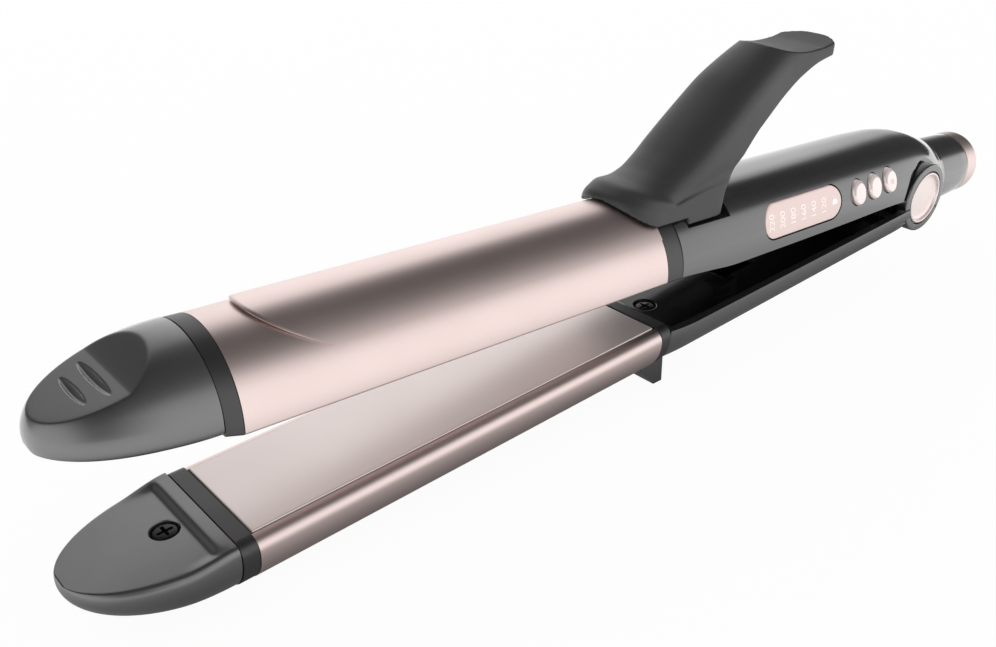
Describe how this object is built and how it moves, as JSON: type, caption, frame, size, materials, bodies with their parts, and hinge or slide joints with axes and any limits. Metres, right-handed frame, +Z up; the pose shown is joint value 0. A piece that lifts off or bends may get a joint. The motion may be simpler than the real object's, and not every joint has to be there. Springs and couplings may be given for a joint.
{
  "type": "hair straightener",
  "caption": "Hair straightener and curler: sprung hinged arms with hot plates inside half-round barrels, curling clip with thumb lever, display, buttons, plate lock ring.",
  "frame": {"origin": "centre of the bounding box at the table plane", "axes": "+X from the nose to the cord end, +Z up, controls on the -Y side; the iron stands on its foot and its lower nose with the arms open"},
  "size_m": [0.3106, 0.034, 0.0822],
  "materials": {
    "charcoal_plastic": "satin charcoal",
    "black_gloss": "gloss black",
    "rose_metal": "satin rose-gold coating",
    "plate_coating": "smooth ceramic coating",
    "rose_plastic": "metallic rose-gold lacquer",
    "display_pink": "smooth translucent",
    "steel": "plain",
    "dark_steel": "blackened",
    "heater_ceramic": "matt white",
    "heat_plastic": "moulded black",
    "circuit_board": "green solder mask",
    "lead_silicone": "red silicone sleeve"
  },
  "bodies": {
    "lower_arm": {"lower_tip_cap": "charcoal_plastic", "front_screw": "dark_steel", "lower_front_band": "charcoal_plastic", "lower_rear_band": "charcoal_plastic", "lower_barrel": "rose_metal", "lower_plate": "plate_coating", "lower_heater": "heater_ceramic", "lower_heater_carrier": "heat_plastic", "lower_temperature_sensor": "steel", "lower_handle": "charcoal_plastic", "lower_inner_cover": "black_gloss", "rear_screw": "dark_steel", "hinge_cover_screw": "dark_steel", "lower_heater_lead": "lead_silicone", "hinge_pin": "steel", "hinge_cap_near": "rose_metal", "hinge_cap_far": "rose_metal", "arm_spring": "steel", "stand_foot": "charcoal_plastic"},
    "upper_arm": {"upper_barrel": "rose_metal", "upper_plate": "plate_coating", "upper_heater": "heater_ceramic", "upper_heater_carrier": "heat_plastic", "upper_temperature_sensor": "steel", "thermal_fuse": "steel", "upper_tip_cap": "charcoal_plastic", "upper_front_band": "charcoal_plastic", "upper_rear_band": "charcoal_plastic", "upper_handle": "charcoal_plastic", "upper_inner_cover": "black_gloss", "cover_screw_front": "dark_steel", "cover_screw_rear": "dark_steel", "display_window": "display_pink", "control_board": "circuit_board", "display_light_board": "circuit_board", "switch_plus": "heat_plastic", "switch_minus": "heat_plastic", "switch_power": "heat_plastic", "power_board": "circuit_board", "upper_heater_lead": "lead_silicone", "tail_tube": "charcoal_plastic", "clip_pin": "steel", "clip_spring": "steel"},
    "clip": {"clip_lever": "charcoal_plastic", "clip_spoon": "rose_metal"},
    "ring": {"lock_ring": "rose_metal"},
    "latch": {"latch_slider": "heat_plastic"},
    "swivel": {"cord_swivel_bush": "heat_plastic"},
    "plus_key": {"button_plus": "rose_plastic"},
    "minus_key": {"button_minus": "rose_plastic"},
    "power_key": {"button_power": "rose_plastic"}
  },
  "joints": [
    {"name": "arm_hinge", "type": "hinge", "parent": "lower_arm", "child": "upper_arm", "pos_m": [0.10904, 0, 0.02691], "axis": [0, 1, 0], "range_deg": [-5.2, 0], "stiffness_Nm_per_rad": 0.8, "springref_deg": 22.92},
    {"name": "clip_hinge", "type": "hinge", "parent": "upper_arm", "child": "clip", "pos_m": [0.0101, 0, 0.04158], "axis": [0, 1, 0], "range_deg": [0, 6], "stiffness_Nm_per_rad": 0.3, "springref_deg": -22.92},
    {"name": "lock_ring_turn", "type": "hinge", "parent": "upper_arm", "child": "ring", "pos_m": [0.15128, 0, 0.02464], "axis": [0.999, 0, -0.0455], "range_deg": [0, 60]},
    {"name": "latch_slide", "type": "slide", "parent": "upper_arm", "child": "latch", "axis": [0.999, 0, -0.0455], "range_m": [-0.0035, 0]},
    {"name": "cord_swivel", "type": "hinge", "parent": "upper_arm", "child": "swivel", "pos_m": [0.14628, 0, 0.02487], "axis": [0.999, 0, -0.0455], "continuous": true},
    {"name": "plus_press", "type": "slide", "parent": "upper_arm", "child": "plus_key", "axis": [0, 1, 0], "range_m": [0, 0.0008], "stiffness_N_per_m": 500, "springref_m": -0.001},
    {"name": "minus_press", "type": "slide", "parent": "upper_arm", "child": "minus_key", "axis": [0, 1, 0], "range_m": [0, 0.0008], "stiffness_N_per_m": 500, "springref_m": -0.001},
    {"name": "power_press", "type": "slide", "parent": "upper_arm", "child": "power_key", "axis": [0, 1, 0], "range_m": [0, 0.0008], "stiffness_N_per_m": 500, "springref_m": -0.001}
  ],
  "couplings": [
    {"joint": "lock_ring_turn", "follows": "latch_slide", "rad_per_m": -299.2}
  ]
}
